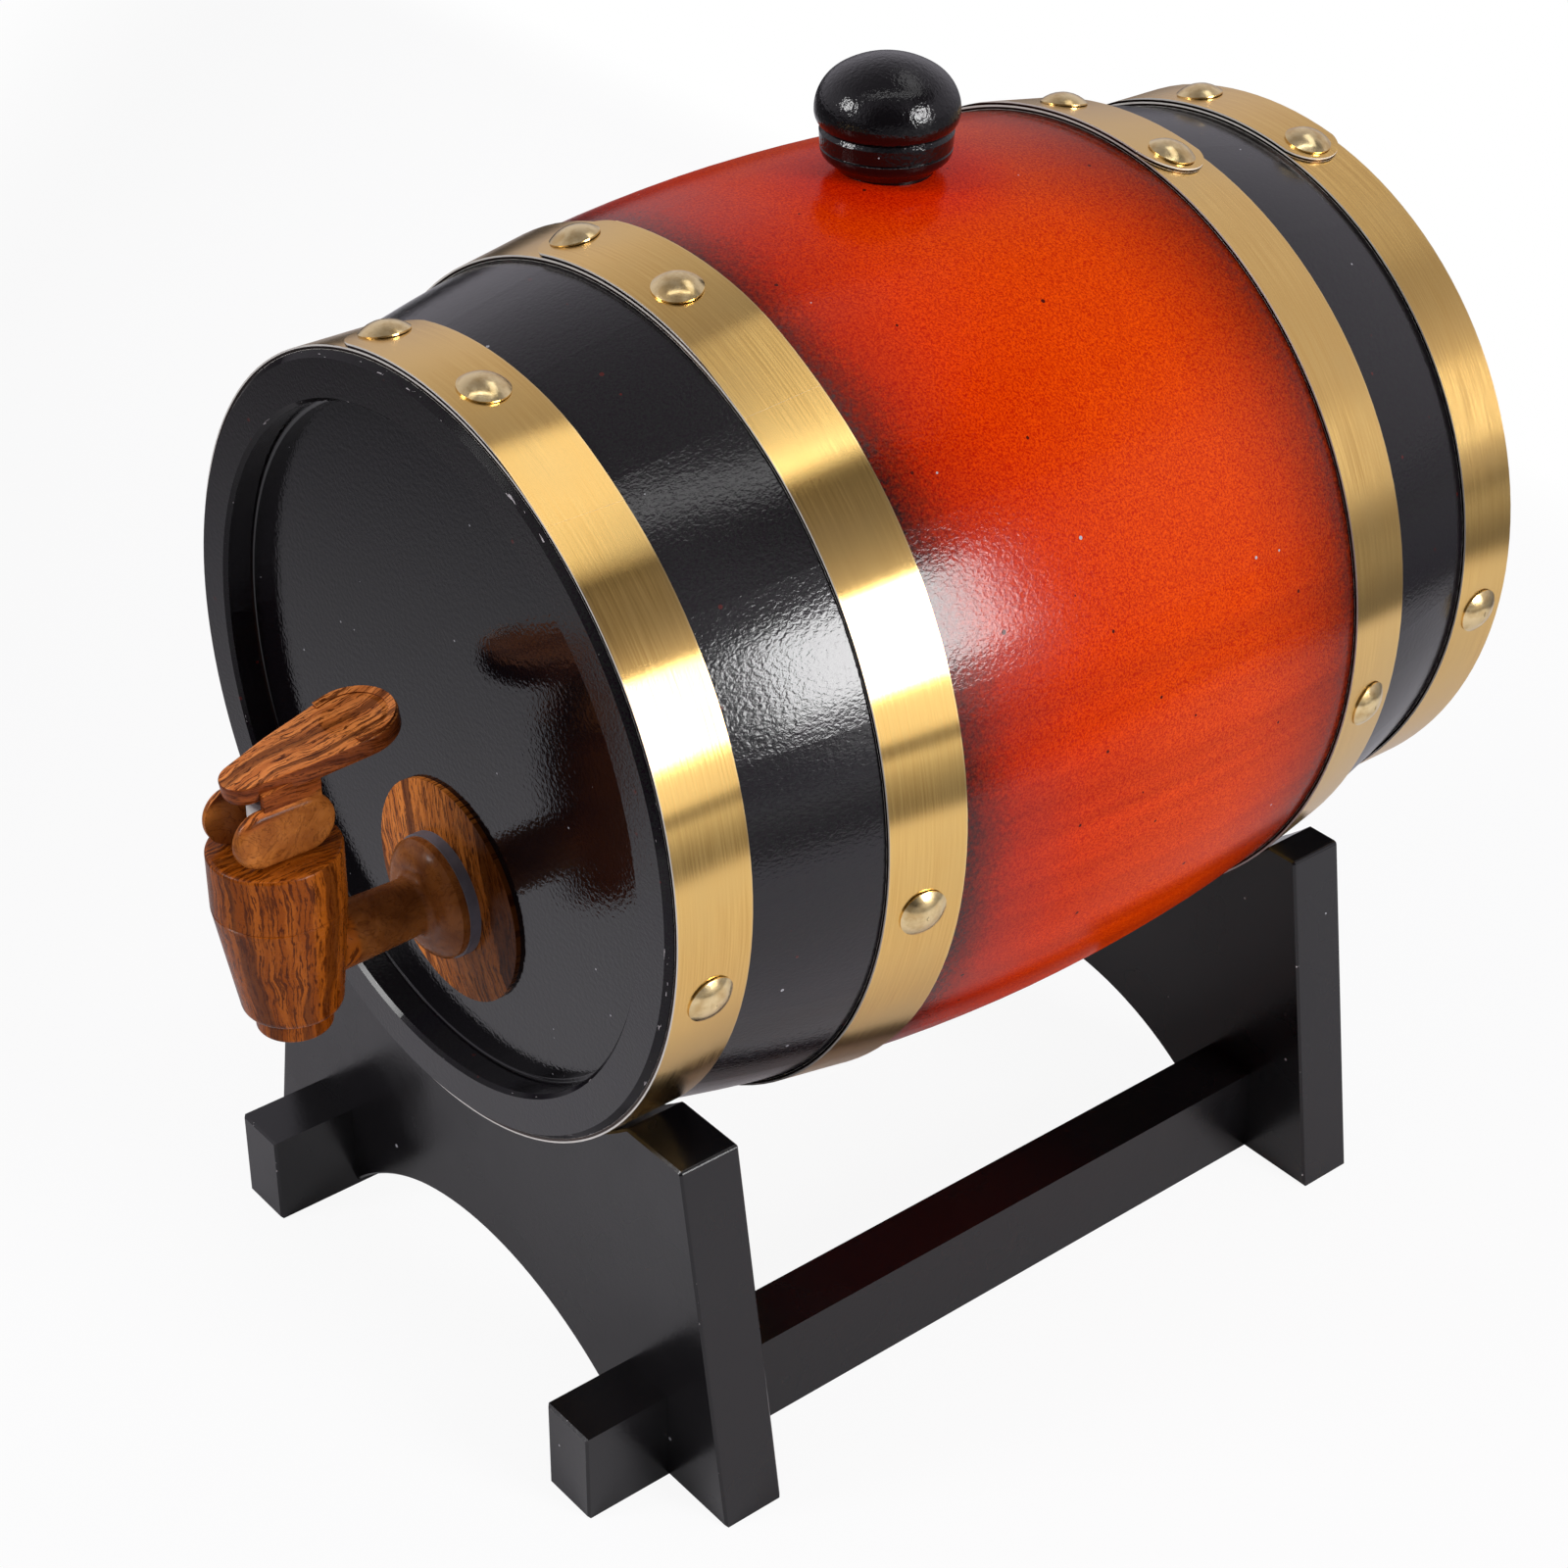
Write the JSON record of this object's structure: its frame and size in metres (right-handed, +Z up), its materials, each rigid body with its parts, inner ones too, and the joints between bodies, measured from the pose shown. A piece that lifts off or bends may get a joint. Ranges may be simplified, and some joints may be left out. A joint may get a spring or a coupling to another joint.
{
  "type": "oak cask liquor dispenser",
  "caption": "Small lacquered oak cask with banded hoops, a bung and a lever tap, lying in a low stand of two cradle boards on rails.",
  "frame": {"origin": "on the table, under the middle of the whole dispenser", "axes": "+Z up, -Y towards the tap, +X to the right seen from the tap's side"},
  "size_m": [0.1836, 0.271, 0.259],
  "materials": {
    "cask_oak": "oak in red-orange burst lacquer that darkens to black at the ends",
    "head_oak": "oak in gloss black lacquer",
    "hoop_strip": "brushed brass-coloured strip",
    "brass_heads": "polished brass domes",
    "stand_wood": "satin black lacquer with worn edges",
    "bung_wood": "gloss black lacquer",
    "tap_plastic": "orange-brown with dark printed wood grain",
    "washer_rubber": "grey rubber",
    "nut_plastic": "plain moulded brown plastic",
    "stem_plastic": "white moulded plastic",
    "valve_rubber": "translucent white silicone"
  },
  "bodies": {
    "stand": {"front_cradle_board": "stand_wood", "rear_cradle_board": "stand_wood", "left_rail": "stand_wood", "right_rail": "stand_wood"},
    "cask": {"bung_stave": "cask_oak", "stave_02": "cask_oak", "stave_03": "cask_oak", "stave_04": "cask_oak", "stave_05": "cask_oak", "stave_06": "cask_oak", "stave_07": "cask_oak", "stave_08": "cask_oak", "stave_09": "cask_oak", "stave_10": "cask_oak", "stave_11": "cask_oak", "stave_12": "cask_oak", "stave_13": "cask_oak", "stave_14": "cask_oak", "stave_15": "cask_oak", "stave_16": "cask_oak", "stave_17": "cask_oak", "stave_18": "cask_oak", "front_head": "head_oak", "rear_head": "head_oak", "front_head_hoop": "hoop_strip", "front_quarter_hoop": "hoop_strip", "rear_quarter_hoop": "hoop_strip", "rear_head_hoop": "hoop_strip", "lap_rivets": "brass_heads", "hoop_nails": "brass_heads", "tap_rosette": "tap_plastic", "outer_washer": "washer_rubber", "inner_washer": "washer_rubber", "back_nut": "nut_plastic", "tap_body": "tap_plastic", "tap_cap": "tap_plastic"},
    "bung": {"bung": "bung_wood"},
    "stem": {"valve_stem": "stem_plastic", "seat_cup": "valve_rubber", "stem_seal": "valve_rubber"},
    "lever": {"lever": "tap_plastic"}
  },
  "joints": [
    {"name": "cask_lift", "type": "slide", "parent": "stand", "child": "cask", "axis": [0, 0, 1], "range_m": [0, 0.12]},
    {"name": "bung_pull", "type": "slide", "parent": "cask", "child": "bung", "axis": [0, 0, 1], "range_m": [0, 0.05]},
    {"name": "stem_lift", "type": "slide", "parent": "cask", "child": "stem", "axis": [0, 0, 1], "range_m": [0, 0.0022]},
    {"name": "lever_press", "type": "hinge", "parent": "stem", "child": "lever", "pos_m": [0, -0.1225, 0.14405], "axis": [-1, 0, 0], "range_deg": [0, 30], "stiffness_Nm_per_rad": 0.02, "springref_deg": -17.19}
  ],
  "couplings": [
    {"joint": "stem_lift", "follows": "lever_press", "m_per_rad": 0.0041}
  ]
}
